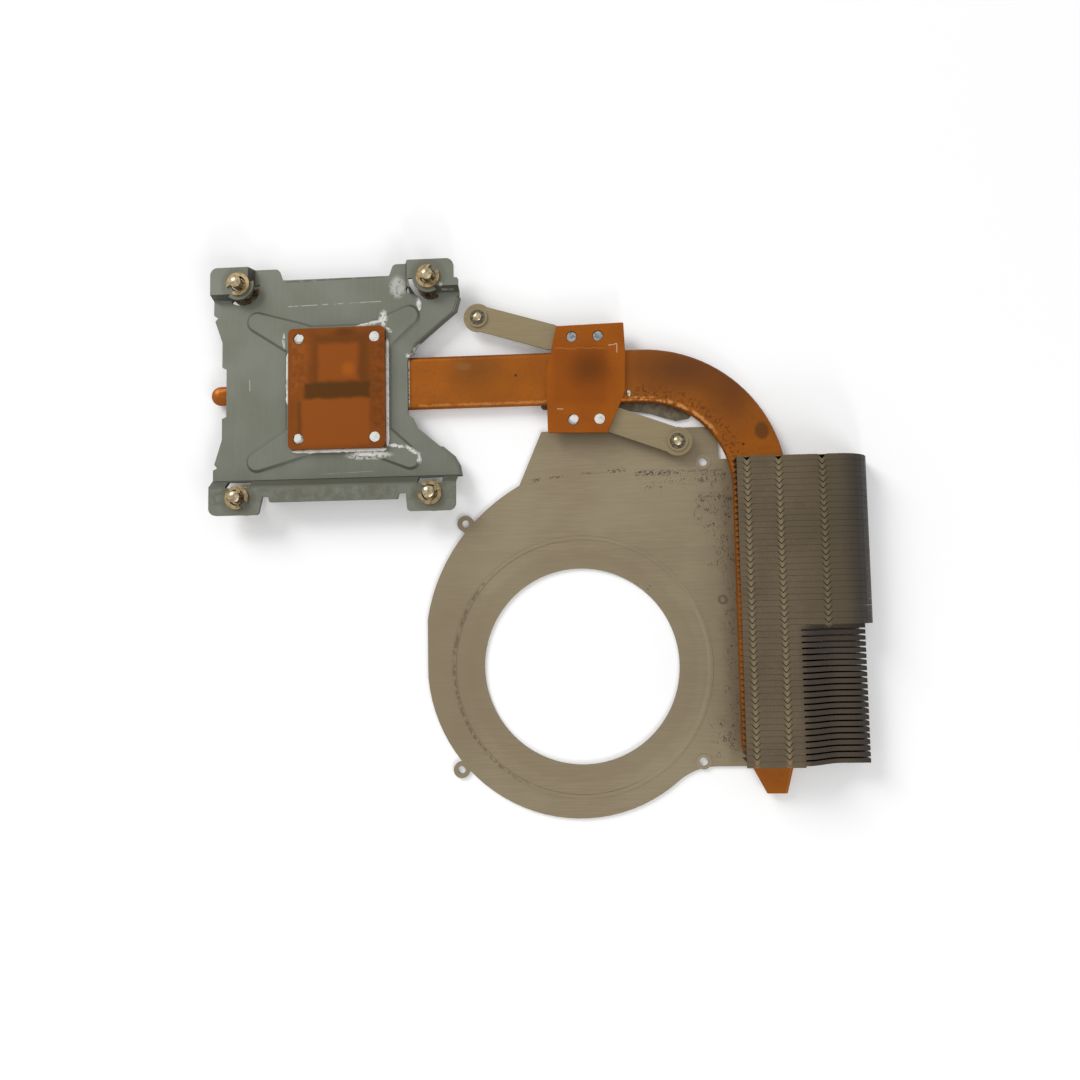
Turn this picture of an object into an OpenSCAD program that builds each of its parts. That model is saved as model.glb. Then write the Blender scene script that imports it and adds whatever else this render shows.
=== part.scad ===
// Laptop heatsink: processor bracket and block, graphics plate with spring arms,
// flattened heat pipe, blower cover and exhaust fin stack. Millimetres.
// Origin: centre of the processor block's contact face. +Z points at the circuit board.

/* [Processor block] */
// Width of the copper contact block
block_w = 24.2; // [22:0.1:26]
// Length of the copper contact block
block_l = 30.2; // [28:0.1:32]
// Thickness of the block above its raised seat
block_t = 1.2; // [0.8:0.1:2]
// Corner radius of the block
block_corner_r = 1.2; // [0.4:0.1:2.5]
// Distance of the block's rivets from its edges
block_rivet_inset = 2.6; // [2:0.1:3.4]
// Diameter of a rivet
rivet_d = 2.4; // [1.6:0.1:3]

/* [Processor bracket] */
// Thickness of the bracket's sheet
bracket_t = 0.8; // [0.5:0.1:1.2]
// Screw spacing across the bracket
screw_dx = 47.6; // [46:0.1:49]
// Screw spacing along the bracket
screw_dy = 53.4; // [52:0.1:55]
// Offset of the screw rectangle's centre in X from the block's centre
screws_x = -0.7; // [-1.5:0.1:0.5]
// Height of the corner pads and the lower flange over the plate
pad_rise = 2.6; // [1.6:0.1:3.4]
// Height of the stiffening cross round the block
cross_rise = 0.6; // [0.3:0.1:1]
// Radius of the rounded ends of the cross
cross_end_r = 2.4; // [1.8:0.1:3]
// Depth of the bent-down flange along the waist
waist_flange_h = 1.6; // [1:0.1:2.4]
// Clearance of a screw's shoulder in its pad
pad_hole_gap = 0.3; // [0.25:0.05:0.4]

/* [Processor screws] */
// Thread diameter of a processor screw
screw_d = 2.8; // [2.5:0.1:3]
// Head diameter of a processor screw
screw_head_d = 7.6; // [6.6:0.1:8]
// Head height of a processor screw
screw_head_h = 1.4; // [1:0.1:1.8]
// Step from the screw's thread out to its shoulder
screw_shoulder = 0.25; // [0.2:0.05:0.3]
// Height of the screw's tip over its clip
screw_tip_h = 2.2; // [1.4:0.1:3]
// Outer diameter of a snap clip
clip_d = 5.8; // [5.2:0.1:6.4]
// Thickness of a snap clip
clip_t = 0.5; // [0.4:0.05:0.7]
// Wire diameter of a screw spring
spring_wire_d = 0.4; // [0.35:0.05:0.4]
// Outer diameter of a screw spring
spring_d = 4.4; // [4.2:0.05:4.45]
// Turns of a screw spring
spring_turns = 4.5; // [4:0.5:5]

/* [Heat pipe] */
// Width of the flattened pipe
pipe_w = 13.1; // [11.5:0.1:13.6]
// Thickness of the flattened pipe
pipe_t = 2.6; // [2.2:0.1:3]
// Offset of the pipe's straight run from the block's centre
pipe_y = 1.2; // [0.6:0.05:1.5]
// Radius of the pipe's bend at its middle line
bend_r = 28; // [27:0.1:30]
// Distance of the pipe's middle line from the fins' inlet side
pipe_fin_inset = 6.6; // [6:0.1:8]
// Reach of the sealed end past the bracket's middle
pipe_left_reach = 33; // [32.4:0.1:34]
// Diameter of the rounded sealed end
pipe_nub_d = 4.8; // [4:0.1:6]
// Length of the crimped tail under the fins' end
pipe_tail_l = 7.1; // [4:0.1:8]
// Width of the tail's tip
pipe_tail_w = 4.8; // [3:0.1:6]

/* [Graphics plate and arms] */
// Thickness of the copper graphics plate
plate_t = 1.1; // [0.8:0.1:1.5]
// Middle of the graphics plate in X
plate_x = 61.15; // [60:0.05:62]
// Half the rivet spacing along the pipe
plate_rivet_dx = 3.2; // [2.6:0.1:3.6]
// Rivet spacing across the pipe
plate_rivet_dy = 20.5; // [20:0.1:21]
// Thickness of a spring arm
arm_t = 0.6; // [0.4:0.1:0.8]
// Width of a spring arm
arm_w = 6.4; // [5.6:0.1:7]
// Diameter of an arm's round end
arm_end_d = 7; // [6.6:0.1:7.4]
// Diameter of a graphics screw
small_screw_d = 2.1; // [1.8:0.1:2.4]
// Play of a graphics screw in its arm
small_screw_play = 0.9; // [0.5:0.1:0.9]

/* [Fan cover] */
// Thickness of the cover's sheet
cover_t = 0.6; // [0.4:0.1:0.8]
// Fan centre in X
fan_x = 58.6; // [58:0.1:60]
// Fan centre in Y
fan_y = -69; // [-70:0.1:-68]
// Diameter of the air inlet
inlet_d = 47; // [42:0.5:50]
// Radius of the scroll at the side away from the fins
scroll_r = 37.5; // [36.5:0.1:38.5]
// Hole diameter in the cover's ears
ear_hole_d = 1.8; // [1.5:0.1:2]
// Diameter of an ear
ear_d = 4; // [3.6:0.1:4.6]
// Diameter of the two screw holes beside the fins
cover_hole_d = 2; // [1.6:0.1:2.2]

/* [Fin stack] */
// Distance from fin to fin
fin_pitch = 1.4; // [1.3:0.02:1.5]
// Thickness of a fin's sheet
fin_t = 0.2; // [0.15:0.01:0.25]
// Height of the stack
fin_h = 9.8; // [8.6:0.1:11]
// Count of full fins
full_fins = 28; // [20:1:30]
// Count of stepped fins
stepped_fins = 23; // [15:1:24]
// Inlet side of the stack in X
fin_x0 = 95.8; // [95.4:0.1:96.2]
// Length of a full fin in the air's direction
fin_l = 31.2; // [29:0.1:33]
// Radius of a full fin's outlet corner
fin_round_r = 8; // [5:0.5:8.6]
// Length of a stepped fin in the air's direction
step_fin_l = 28.7; // [27:0.1:30]
// Drop of a stepped fin's outlet end
step_drop = 4.4; // [3:0.1:5.4]
// Width of the interlocking tongues
tongue_w = 2.1; // [1.6:0.1:2.4]

/* [Hidden] */

$fn = 48;
cut = 0.01;
arc_steps = 6;
steel_grey = "#7b8078";
copper = "#a8611f";
tan_steel = "#8c8468";
brass = "#a08a5c";
fin_grey = "#6a5f4c";
corners = [[-1, -1], [1, -1], [1, 1], [-1, 1]];

// Levels, from the contact face down to the plane that the part lies on
seat_z = -block_t;
bracket_top = seat_z - cross_rise;
bracket_bottom = bracket_top - bracket_t;
pipe_top = bracket_bottom;
pipe_bottom = pipe_top - pipe_t;
rest_z = pipe_bottom - cover_t;
pad_top = bracket_top + pad_rise;
pad_bottom = pad_top - bracket_t;
arm_top = pipe_top;
arm_bottom = arm_top - arm_t;

// Outlines: corners given as [x, y, radius] become arcs
function unit(v) = v / norm(v);
function xy(p) = [p[0], p[1]];
function corner_arc(a, b, c, r) = r <= 0 ? [b] :
    let(u = unit(a - b), w = unit(c - b), half = acos(u * w) / 2)
    let(middle = b + unit(u + w) * r / sin(half))
    let(from = b + u * r / tan(half) - middle, to = b + w * r / tan(half) - middle)
    [for (k = [0 : arc_steps]) middle + r * unit(from * (arc_steps - k) + to * k)];
function rounded(path) = let(m = len(path))
    [for (i = [0 : m - 1])
        each corner_arc(xy(path[(i + m - 1) % m]), xy(path[i]), xy(path[(i + 1) % m]), path[i][2])];
function arc(centre, r, from, to, n) =
    [for (k = [0 : n]) let(a = from + (to - from) * k / n) centre + r * [cos(a), sin(a)]];

module bar2d(a, b, r) {
    d = b - a;
    w = r - 0.03;
    translate(a) rotate(atan2(d[1], d[0])) translate([0, -w]) square([norm(d), 2 * w]);
    translate(a) circle(r);
    translate(b) circle(r);
}

module slab(z, t) {
    translate([0, 0, z]) linear_extrude(t) children();
}

// Processor block, with a foot that passes through the bracket to the pipe
foot_w = 17.4;
foot_l = pipe_w + 0.6;
foot_gap = 0.3;
rivet_gap = 0.05;
rivet_paste_gap = 0.15;
rivet_recess = 0.2;
rivet_tail_r = 0.6;

module block_rivet_places() {
    for (c = corners)
        translate([c[0] * (block_w / 2 - block_rivet_inset), c[1] * (block_l / 2 - block_rivet_inset), 0])
            children();
}

module processor_block() {
    color(copper) difference() {
        union() {
            slab(seat_z, block_t) polygon(rounded([for (c = corners)
                [c[0] * block_w / 2, c[1] * block_l / 2, block_corner_r]]));
            slab(pipe_top, seat_z - pipe_top) translate([0, pipe_y]) square([foot_w, foot_l], center = true);
        }
        block_rivet_places()
            translate([0, 0, seat_z - cut]) cylinder(d = rivet_d + 2 * rivet_paste_gap, h = block_t + 2 * cut);
    }
}

module block_rivets() {
    seat_bottom = seat_z - bracket_t;
    color("silver") block_rivet_places() {
        translate([0, 0, seat_bottom]) cylinder(d = rivet_d, h = -rivet_recess - seat_bottom);
        translate([0, 0, bracket_bottom])
            cylinder(r = rivet_d / 2 + rivet_tail_r, h = seat_bottom - bracket_bottom);
    }
}

// Processor bracket: one stamped sheet with raised pads, flange and cross
bracket_left = -31.7;
bracket_top_y = 31.1;
bracket_edge_y = 28.2;
bracket_bottom_y = -31;
pad_x = [-21.4, 17.2];
pad_y = 23.6;
wall_run = 0.9;
flange_y = -22.4;
flange_run = 1.9;
screw_relief_w = 6;
relief_r = 3.9;
relief_w = [0.7, 1.1];
relief_from = [-126, 183];
relief_to = [8, 297];
seat_margin = 1.3;
cross_end = [[-20.5, 17.6], [17.9, 17.9]];
cross_root = [block_w / 2 - 2.8, block_l / 2 - 2.6];
cross_root_r = 3.9;
cross_slope = 0.7;
waist_steps = [[0.9, 0.02], [0.45, 0.15], [0, 0.5]];
waist_edges = [[[30.2, 22], [29.3, 18.9], [24.8, 15.2], [19.7, 10.9], [18.4, 8.6]],
    [[25.9, -15.4], [28.6, -17.7], [29.8, -19.8], [30.2, -22]]];
far = 40;
screw_places = [for (sx = [-1, 1], sy = [1, -1]) [screws_x + sx * screw_dx / 2, sy * screw_dy / 2]];

module bracket_outline() {
    polygon(rounded([
        [bracket_left, bracket_top_y, 1.8], [-15.2, bracket_top_y, 1], [-14.2, bracket_edge_y, 0.4],
        [12.9, bracket_edge_y, 0.5], [13.9, bracket_top_y, 1.2], [29.4, bracket_top_y, 1.8], [29.4, 26.2, 0.3],
        [30.6, 26.2, 0.6], [30.4, 22.6, 0.3], [29.7, 22.2, 0.2], [28.7, 18.9, 2], [24.3, 15.3, 3], [19.1, 10.9, 1.5],
        [17.9, 7.8, 0.6], [17.35, 6.8, 0.4], [17.35, -6.8, 0.4], [18.5, -7.6, 0.6],
        [19.8, -10.3, 1.5], [25.1, -14.8, 3], [28.2, -18, 2], [29.6, -22, 0.4],
        [29.4, -23.6, 0.4], [29.4, bracket_bottom_y, 1.8], [17.6, bracket_bottom_y, 0.8],
        [17.2, -26.6, 0.3], [15.6, -26.6, 0.3], [15.2, -28, 0.3],
        [-16.4, -28, 0.3], [-16.8, -26.6, 0.3], [-18.2, -26.6, 0.3], [-19.2, bracket_bottom_y, 0.8],
        [bracket_left, bracket_bottom_y, 1.8], [bracket_left, -19.4, 0.2], [-30.6, -18.9, 0.2],
        [-31.4, -18, 0.2], [-29.5, -11.8, 0.8], [-29.5, -6.5, 0.2], [-28.4, -6, 0.2],
        [-28.4, 6, 0.2], [-29.5, 6.5, 0.2], [-29.5, 12.8, 0.8],
        [-31.4, 18.3, 0.2], [-30.6, 19.2, 0.2], [bracket_left, 19.8, 0.2]]));
}

// Raised seat and its four fingers, with sloped sides
function finger_end(c) = let(e = cross_end[c[0] < 0 ? 0 : 1]) [e[0], c[1] * e[1]];
module cross_cone(p, r) {
    translate([p[0], p[1], bracket_top]) cylinder(r1 = r + cross_slope, r2 = r, h = cross_rise);
}

module raised_cross() {
    seat_r = 1.2;
    seat_x = block_w / 2 + seat_margin - cross_slope - seat_r;
    seat_y = block_l / 2 + seat_margin - cross_slope - seat_r;
    hull() for (c = corners) cross_cone([c[0] * seat_x, c[1] * seat_y], seat_r);
    for (c = corners) hull() {
        cross_cone(finger_end(c), cross_end_r - cross_slope / 2);
        cross_cone([c[0] * cross_root[0], c[1] * cross_root[1]], cross_root_r);
    }
}

module cross_hollow() {
    for (c = corners)
        bar2d(finger_end(c), [c[0] * cross_root[0], c[1] * cross_root[1]],
            cross_end_r - bracket_t);
    square([block_w, block_l] + 2 * (seat_margin - bracket_t) * [1, 1], center = true);
}

module bent_profile(run) {
    lean = bracket_t * run / (run + pad_rise);
    polygon([[-1, 0], [0, 0], [run, pad_rise], [run + far, pad_rise], [run + far, pad_rise + bracket_t],
        [run - lean, pad_rise + bracket_t], [-lean, bracket_t], [-1, bracket_t]]);
}

// Sheet that rises away from a fold line, in Y or in X
module rise_in_y(x0, x1, y, side, run) {
    translate([x0, y, bracket_bottom]) mirror([0, side < 0 ? 1 : 0, 0])
        rotate([90, 0, 90]) linear_extrude(x1 - x0) bent_profile(run);
}

module rise_in_x(y0, y1, x, side, run) {
    translate([x, y1, bracket_bottom]) mirror([side < 0 ? 1 : 0, 0, 0])
        rotate([90, 0, 0]) linear_extrude(y1 - y0) bent_profile(run);
}

module pad_quadrant(side, inset) {
    x = side < 0 ? pad_x[0] : pad_x[1];
    translate([side < 0 ? x - inset - far : x + inset, pad_y + inset]) square([far, far]);
}

module screw_sector(i, r, spare) {
    side = i == 0 ? -1 : 1;
    translate([screws_x + side * screw_dx / 2, screw_dy / 2])
        polygon(concat([[0, 0]], arc([0, 0], r, relief_from[i] - spare, relief_to[i] + spare, 14)));
}

module bracket_sheet() {
    difference() {
        union() {
            slab(bracket_bottom, bracket_t) difference() {
                translate([-far, flange_y]) square([2 * far, 2 * far]);
                for (side = [-1, 1]) pad_quadrant(side, 0);
            }
            for (side = [-1, 1]) {
                x = side < 0 ? pad_x[0] : pad_x[1];
                outer = x + side * wall_run;
                rise_in_x(pad_y + wall_run, far, x, side, wall_run);
                rise_in_y(min(outer, side * far), max(outer, side * far), pad_y, 1, wall_run);
            }
        }
        for (i = [0, 1])
            slab(bracket_bottom - 1, pad_rise + 1 + bracket_t / 2)
                screw_sector(i, relief_r + relief_w[i] / 2, -2);
    }
    for (i = [0, 1]) slab(pad_bottom, bracket_t) screw_sector(i, relief_r, 4);
    rise_in_y(-far, far, flange_y, -1, flange_run);
}

module pad_relief(i) {
    side = i == 0 ? -1 : 1;
    slab(bracket_bottom - 1, pad_rise + bracket_t + 2)
        translate([screws_x + side * screw_dx / 2, screw_dy / 2])
            polygon(concat(arc([0, 0], relief_r + relief_w[i], relief_from[i], relief_to[i], 14),
                arc([0, 0], relief_r, relief_to[i], relief_from[i], 14)));
}

// Edge of the waist, rolled down in small steps
module waist_flange(path) {
    for (step = waist_steps)
        slab(bracket_top - waist_flange_h, waist_flange_h - step[1])
            for (k = [0 : len(path) - 2])
                bar2d(path[k] - [step[0], 0], path[k + 1] - [step[0], 0], bracket_t / 2);
}

module processor_bracket() {
    color(steel_grey) difference() {
        union() {
            intersection() {
                bracket_sheet();
                slab(bracket_bottom - 1, pad_rise + bracket_t + 2) bracket_outline();
            }
            raised_cross();
            for (path = waist_edges) waist_flange(path);
        }
        slab(bracket_bottom - cut, cross_rise + cut) cross_hollow();
        slab(bracket_bottom - cut, bracket_t + cross_rise + 2 * cut)
            translate([0, pipe_y]) square([foot_w + 2 * foot_gap, foot_l + 2 * foot_gap], center = true);
        for (p = screw_places)
            translate([p[0], p[1], pad_bottom - 1])
                cylinder(r = screw_d / 2 + screw_shoulder + pad_hole_gap, h = bracket_t + 2);
        block_rivet_places()
            translate([0, 0, bracket_bottom - 1]) cylinder(d = rivet_d + 2 * rivet_gap, h = bracket_t + cross_rise + 2);
        for (i = [0, 1]) pad_relief(i);
        for (p = screw_places)
            if (p[1] < 0)
                translate([p[0] - screw_relief_w / 2, flange_y - flange_run, bracket_bottom - 1])
                    cube([screw_relief_w, flange_run - 0.2, pad_rise + 3]);
    }
}

// Captive screws: revolved profile with a clip groove and a domed tip
groove_depth = 0.35;
groove_play = 0.05;
clip_fit = 0.08;
drive_w = 0.8;
drive_depth = 0.8;
dome_share = 0.35;

module captive_screw(d, head_d, head_h, head_z, clip_z, clip_h, tip_h, groove) {
    r = d / 2;
    groove_z0 = clip_z - groove_play;
    groove_z1 = clip_z + clip_h + groove_play;
    tip_z = clip_z + clip_h + tip_h;
    dome = r * dome_share;
    dome_r = (r * r + dome * dome) / (2 * dome);
    rim = asin(r / dome_r);
    difference() {
        rotate_extrude() polygon(concat(
            [[0, head_z], [head_d / 2 - 0.2, head_z], [head_d / 2, head_z + 0.2],
                [head_d / 2, head_z + head_h], [r + screw_shoulder, head_z + head_h],
                [r + screw_shoulder, groove_z0], [r - groove, groove_z0], [r - groove, groove_z1], [r, groove_z1]],
            arc([0, tip_z - dome_r], dome_r, 90 - rim, 90, arc_steps)));
        translate([0, 0, head_z - cut]) {
            translate([-head_d / 3, -drive_w / 2, 0]) cube([2 * head_d / 3, drive_w, drive_depth]);
            translate([-drive_w / 2, -head_d / 3, 0]) cube([drive_w, 2 * head_d / 3, drive_depth]);
        }
    }
}

module processor_screw(i) {
    color(brass) translate(screw_places[i])
        captive_screw(screw_d, screw_head_d, screw_head_h, rest_z, pad_top, clip_t, screw_tip_h, groove_depth);
}

module processor_clip(i) {
    inner_r = screw_d / 2 - groove_depth + clip_fit;
    ring_w = 0.9;
    prong_w = 1.1;
    mouth_w = 2;
    color(brass) translate(screw_places[i]) rotate(35 + 100 * i) slab(pad_top, clip_t) difference() {
        union() {
            difference() {
                circle(d = clip_d);
                circle(d = clip_d - 2 * ring_w);
            }
            for (a = [60, 180, 300])
                rotate(a) translate([inner_r - 0.1, -prong_w / 2]) square([clip_d / 2 - inner_r - 0.2, prong_w]);
        }
        circle(inner_r);
        translate([-clip_d, -mouth_w / 2]) square([clip_d, mouth_w]);
    }
}

// Coil springs between the screws' heads and the pads
spring_z0 = rest_z + screw_head_h + spring_wire_d / 2;
spring_z1 = pad_bottom - spring_wire_d / 2;
spring_r = (spring_d - spring_wire_d) / 2;
spring_sides = 8;
rings_per_turn = 14;

function spring_height(s) = let(flat = 0.75, turn = s * spring_turns)
    turn < flat ? spring_wire_d * turn :
    turn > spring_turns - flat ? spring_z1 - spring_z0 - spring_wire_d * (spring_turns - turn) :
    let(low = spring_wire_d * flat, high = spring_z1 - spring_z0 - low)
    low + (high - low) * (turn - flat) / (spring_turns - 2 * flat);
function spring_point(s, k) = let(a = 360 * spring_turns * s, b = 360 * k / spring_sides)
    let(r = spring_r + spring_wire_d / 2 * cos(b))
    [r * cos(a), r * sin(a), spring_z0 + spring_height(s) + spring_wire_d / 2 * sin(b)];

module processor_spring(i) {
    rings = ceil(spring_turns * rings_per_turn);
    points = [for (n = [0 : rings], k = [0 : spring_sides - 1]) spring_point(n / rings, k)];
    walls = [for (n = [0 : rings - 1], k = [0 : spring_sides - 1])
        let(a = n * spring_sides + k, b = n * spring_sides + (k + 1) % spring_sides)
        [a, b, b + spring_sides, a + spring_sides]];
    first = [for (k = [0 : spring_sides - 1]) spring_sides - 1 - k];
    last = [for (k = [0 : spring_sides - 1]) rings * spring_sides + k];
    color("gainsboro") translate(screw_places[i])
        polyhedron(points, concat([first], walls, [last]), convexity = 6);
}

// Heat pipe: a round tube pressed flat, sealed at both ends
pipe_fin_x = fin_x0 + pipe_fin_inset;
bend_x = pipe_fin_x - bend_r;
bend_y = pipe_y - bend_r;
stack_y0 = -20.6;
stack_y1 = stack_y0 - fin_pitch * (full_fins + stepped_fins);
nub_taper_x = -21.5;
nub_root_x = -27.5;
nub_t = 3;
nub_drop = 1.5;
tail_taper_l = 3.6;
tail_t = 1.3;
tail_shift = 1.4;

module flat_tube(w, t) {
    square([w - t, t], center = true);
    for (s = [-1, 1]) translate([s * (w - t) / 2, 0]) circle(d = t);
}

module pipe_slice_x(x, w, t) {
    translate([x, 0, 0]) rotate([90, 0, 90]) linear_extrude(cut) flat_tube(w, t);
}

module pipe_slice_y(y, w, t) {
    translate([0, y, 0]) rotate([90, 0, 0]) linear_extrude(cut) flat_tube(w, t);
}

module heat_pipe() {
    nub_x = -pipe_left_reach + pipe_nub_d / 2;
    color(copper) translate([0, 0, (pipe_top + pipe_bottom) / 2]) {
        translate([nub_taper_x, pipe_y, 0]) rotate([90, 0, 90])
            linear_extrude(bend_x - nub_taper_x) flat_tube(pipe_w, pipe_t);
        translate([bend_x, bend_y, 0]) rotate_extrude(angle = 90)
            translate([bend_r, 0]) flat_tube(pipe_w, pipe_t);
        translate([pipe_fin_x, bend_y, 0]) rotate([90, 0, 0])
            linear_extrude(bend_y - stack_y1 - tail_taper_l) flat_tube(pipe_w, pipe_t);
        translate([0, pipe_y, 0]) hull() {
            pipe_slice_x(nub_taper_x, pipe_w, pipe_t);
            translate([0, -nub_drop, 0]) pipe_slice_x(nub_root_x, pipe_nub_d, pipe_t - 0.3);
        }
        translate([0, pipe_y - nub_drop, 0]) hull() {
            pipe_slice_x(nub_root_x, pipe_nub_d, pipe_t - 0.3);
            translate([nub_x, 0, 0]) scale([pipe_nub_d, pipe_nub_d, nub_t] / 2) sphere(1, $fn = 32);
        }
        translate([pipe_fin_x, 0, 0]) hull() {
            pipe_slice_y(stack_y1 + tail_taper_l, pipe_w, pipe_t);
            translate([tail_shift, 0, 0]) pipe_slice_y(stack_y1 - pipe_tail_l + cut, pipe_tail_w, tail_t);
        }
    }
}

// Middle line of the pipe and its two edges where it passes under the fins
function pipe_edge(y, side) = let(r = bend_r + side * pipe_w / 2, d = max(0, y - bend_y))
    bend_x + sqrt(max(0, r * r - d * d));

module pipe_strap() {
    low = pipe_y - pipe_w / 2;
    color(tan_steel) slab(rest_z, cover_t) polygon(rounded([
        [plate_x - 11.2, low + 2.7, 0.5], [plate_x - 11.2, low - 0.7, 0.8], [plate_x + 8.4, low - 1.3, 4],
        [bend_x + 2.4, low - 2.5, 3], [bend_x + 6.2, low - 3.8, 1], [bend_x + 8.6, low - 4.5, 1.2],
        [bend_x + 11.6, low - 4.1, 0.8], [bend_x + 12.6, low - 3, 0.5], [bend_x + 12, low + 2.7, 0.5]]));
}

// Graphics plate on the pipe, with two spring arms riveted under it
plate_top = pipe_top + plate_t;
plate_y = 0.7;
arm_end = [[34.8, 16.95], [82.95, -15.4]];
arm_elbow = [[52.5, 11.5], [68.4, -9.9]];
arm_rivet_y = [plate_y + plate_rivet_dy / 2, plate_y - plate_rivet_dy / 2];
arm_inner_r = 2.7;
arm_inner_reach = 2.4;
collar_h = 0.4;
collar_w = 0.55;
small_head_d = 4.4;
small_head_h = 1.2;
small_tip_h = 0.9;
small_clip_t = 0.35;
small_clip_w = 0.85;
small_groove = 0.2;
small_hole_gap = 0.15;

module graphics_plate() {
    color(copper) difference() {
        slab(pipe_top, plate_t) polygon(rounded([
            [plate_x - 6.9, plate_y + 13, 0.5], [plate_x + 9.45, plate_y + 13.3, 0.3],
            [plate_x + 9.7, plate_y + 6.5, 0.6], [plate_x + 9.4, plate_y - 3.6, 1],
            [plate_x + 8.4, plate_y - 6.1, 1], [plate_x + 5, plate_y - 13.6, 0.5],
            [plate_x - 9.4, plate_y - 13.2, 0.5], [plate_x - 9.5, plate_y - 5.9, 0.5],
            [plate_x - 9.7, plate_y + 0.8, 1], [plate_x - 8.3, plate_y + 6.4, 1], [plate_x - 7.8, plate_y + 9.3, 1]]));
        arm_rivet_places() cylinder(d = rivet_d + 2 * rivet_paste_gap, h = 20, center = true);
    }
}

module arm_rivet_places() {
    for (s = [-1, 1], y = arm_rivet_y)
        translate([plate_x + s * plate_rivet_dx, y, 0]) children();
}

module spring_arm(i) {
    inner_x = plate_x + (i == 0 ? 1 : -1) * (plate_rivet_dx + arm_inner_reach);
    end_hole_d = small_screw_d + 2 * (screw_shoulder + small_hole_gap);
    collar_r = small_screw_d / 2 + small_clip_w + collar_w / 2;
    color(tan_steel) difference() {
        union() {
            slab(arm_bottom, arm_t) {
                bar2d(arm_end[i], arm_elbow[i], arm_w / 2);
                bar2d(arm_elbow[i], [inner_x, arm_rivet_y[i]], arm_inner_r);
                translate(arm_end[i]) circle(d = arm_end_d);
            }
            slab(arm_top, collar_h) translate(arm_end[i]) difference() {
                circle(collar_r + collar_w / 2);
                circle(collar_r - collar_w / 2);
            }
        }
        translate([arm_end[i][0], arm_end[i][1], arm_bottom - 1]) cylinder(d = end_hole_d, h = arm_t + 1 + cut);
        arm_rivet_places() cylinder(d = rivet_d + 2 * rivet_gap, h = 20, center = true);
    }
}

module arm_rivets() {
    color("silver") arm_rivet_places() {
        translate([0, 0, arm_bottom]) cylinder(d = rivet_d, h = plate_top - rivet_recess - arm_bottom);
        translate([0, 0, arm_bottom - 0.5]) cylinder(r = rivet_d / 2 + rivet_tail_r, h = 0.5);
    }
}

module graphics_screw(i) {
    color("silver") translate(arm_end[i])
        captive_screw(small_screw_d, small_head_d, small_head_h,
            arm_bottom - small_screw_play - small_head_h, arm_top, small_clip_t, small_tip_h, small_groove);
}

module graphics_clip(i) {
    inner_r = small_screw_d / 2 - small_groove + clip_fit;
    outer_r = small_screw_d / 2 + small_clip_w - clip_fit;
    color("dimgray") translate(arm_end[i]) rotate(200) slab(arm_top, small_clip_t) difference() {
        circle(outer_r);
        circle(inner_r);
        translate([0, -0.3]) square([outer_r + 1, 0.6]);
    }
}

// Fan cover: a flat scroll with an air inlet, ears and a throat under the fins
throat_y = -93.1;
fillet_r = 14;
cover_side_x = fin_x0 - 2.9;
cover_step_y = stack_y0 + 1;
tongue_x = fin_x0 + 3.2;
cover_top = [[49.9, -11.6], [cover_side_x, -11.6]];
scroll_from = 108;
flat_side = 37.4;
ears = [[30.8, -33.9], [29.2, -93.5]];
cover_holes = [[fin_x0 - 6.7, -20.2], [fin_x0 - 8.7, -92]];
bead_r = 31;
bead_w = 0.9;
bead_h = 0.12;
boss_w = 0.9;
access_d = 4.8;
fan = [fan_x, fan_y];
cut_off_r = scroll_r - 2;
fillet_middle = [fan_x + sqrt(pow(cut_off_r + fillet_r, 2) - pow(throat_y - fillet_r - fan_y, 2)),
    throat_y - fillet_r];
cut_off_a = 360 + atan2(fillet_middle[1] - fan_y, fillet_middle[0] - fan_x);

function scroll(a) = a < 180 ?
    scroll_r + 0.089 * (180 - a) + 0.0005 * pow(180 - a, 2) :
    scroll_r - 2 * (a - 180) / (cut_off_a - 180);
function scroll_point(a) = fan + [max(-flat_side, scroll(a) * cos(a)), scroll(a) * sin(a)];

module fan_cover_outline() {
    steps = 48;
    polygon(concat(
        [for (k = [0 : steps]) scroll_point(scroll_from + (cut_off_a - scroll_from) * k / steps)],
        arc(fillet_middle, fillet_r, cut_off_a - 180, 90, 8),
        [[tongue_x, throat_y], [tongue_x, cover_step_y], [cover_side_x, cover_step_y],
            cover_top[1], cover_top[0]]));
    for (e = ears) {
        translate(e) circle(d = ear_d);
        bar2d(e, e + 3 * unit(fan - e), ear_d / 2 - 0.3);
    }
}

module ring(r, w, z, h) {
    translate([0, 0, z]) difference() {
        cylinder(r = r + w / 2, h = h);
        translate([0, 0, -cut]) cylinder(r = r - w / 2, h = h + 2 * cut);
    }
}

module fan_cover() {
    color(tan_steel) difference() {
        union() {
            slab(rest_z, cover_t) fan_cover_outline();
            translate([fan_x, fan_y, 0]) ring(bead_r, bead_w, pipe_bottom, bead_h);
            for (p = cover_holes)
                translate(p) ring(cover_hole_d / 2 + boss_w / 2 - 0.1, boss_w, pipe_bottom, bead_h);
        }
        translate([fan_x, fan_y, rest_z - 1]) cylinder(d = inlet_d, h = cover_t + 2, $fn = 96);
        for (e = ears) translate([e[0], e[1], rest_z - 1]) cylinder(d = ear_hole_d, h = cover_t + 2);
        for (p = cover_holes) translate([p[0], p[1], rest_z - 1]) cylinder(d = cover_hole_d, h = cover_t + 2);
        translate([arm_end[1][0], arm_end[1][1], rest_z - 1]) cylinder(d = access_d, h = cover_t + 2);
    }
}

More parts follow.
